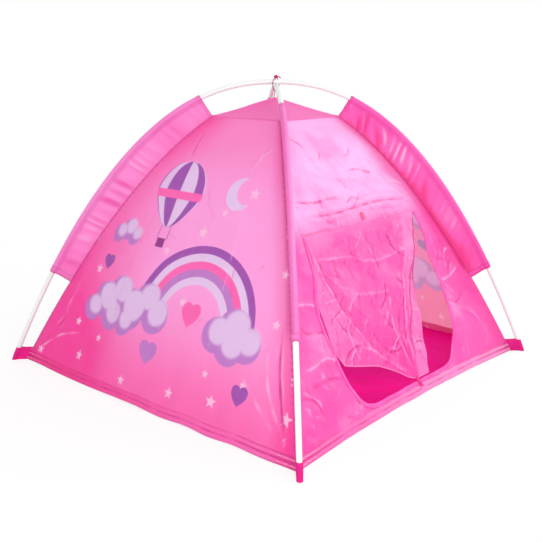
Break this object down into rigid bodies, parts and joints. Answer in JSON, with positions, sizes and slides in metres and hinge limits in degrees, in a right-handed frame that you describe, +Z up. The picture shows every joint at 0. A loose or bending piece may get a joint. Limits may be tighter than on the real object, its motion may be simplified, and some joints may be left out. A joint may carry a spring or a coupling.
{
  "type": "kids play tent",
  "caption": "Square dome play tent for a child: cloth walls and roof cap hung from crossed bowed poles in sleeves, with a gathered door flap.",
  "frame": {"origin": "middle of the underside of the floor, on the ground", "axes": "+Z up, the wall with the door faces -Y, +X to the right of someone looking at the door"},
  "size_m": [1.2268, 1.2268, 0.9135],
  "materials": {
    "pole_tube": "white extruded plastic tube, softly glossy",
    "end_plastic": "grey moulded plastic",
    "door_cloth": "thin shiny woven polyester, light pink",
    "printed_cloth": "thin shiny woven polyester, printed pink",
    "trim_cloth": "thin shiny woven polyester, hot pink",
    "band_cloth": "folded and stitched polyester, hot pink",
    "deep_cloth": "polyester sheet, webbing and cord, deep pink"
  },
  "bodies": {
    "tent": {"back_corner_pocket": "deep_cloth", "back_hem": "band_cloth", "back_pole_plug": "end_plastic", "back_sleeve": "trim_cloth", "back_wall": "printed_cloth", "crossing_tie": "deep_cloth", "door_binding": "band_cloth", "door_hem": "band_cloth", "door_wall": "door_cloth", "floor_sheet": "deep_cloth", "front_back_pole_connector_1": "end_plastic", "front_back_pole_connector_2": "end_plastic", "front_back_pole_connector_3": "end_plastic", "front_back_pole_connector_4": "end_plastic", "front_back_pole_section_1": "pole_tube", "front_back_pole_section_2": "pole_tube", "front_back_pole_section_3": "pole_tube", "front_back_pole_section_4": "pole_tube", "front_back_pole_section_5": "pole_tube", "front_corner_pocket": "deep_cloth", "front_pole_plug": "end_plastic", "front_sleeve": "trim_cloth", "left_corner_pocket": "deep_cloth", "left_hem": "band_cloth", "left_pole_plug": "end_plastic", "left_right_pole_connector_1": "end_plastic", "left_right_pole_connector_2": "end_plastic", "left_right_pole_connector_3": "end_plastic", "left_right_pole_connector_4": "end_plastic", "left_right_pole_section_1": "pole_tube", "left_right_pole_section_2": "pole_tube", "left_right_pole_section_3": "pole_tube", "left_right_pole_section_4": "pole_tube", "left_right_pole_section_5": "pole_tube", "left_sleeve": "trim_cloth", "left_wall": "printed_cloth", "right_corner_pocket": "deep_cloth", "right_hem": "band_cloth", "right_pole_plug": "end_plastic", "right_sleeve": "trim_cloth", "right_wall": "printed_cloth", "roof_cap": "trim_cloth", "tie_knot": "deep_cloth"},
    "door_flap": {"door_flap": "door_cloth"},
    "closure_tab": {"closure_tab": "deep_cloth"},
    "roll_up_tab": {"roll_up_tab": "band_cloth"}
  },
  "joints": [
    {"name": "door_flap_swing", "type": "hinge", "parent": "tent", "child": "door_flap", "pos_m": [0, -0.34877, 0.50034], "axis": [-1, 0, 0], "range_deg": [0, 135]},
    {"name": "closure_tab_swing", "type": "hinge", "parent": "door_flap", "child": "closure_tab", "pos_m": [0.036, -0.53154, 0.05639], "axis": [-1, 0, 0], "range_deg": [0, 120]},
    {"name": "roll_up_tab_swing", "type": "hinge", "parent": "tent", "child": "roll_up_tab", "pos_m": [0, -0.33445, 0.52642], "axis": [-1, 0, 0], "range_deg": [0, 150]}
  ]
}
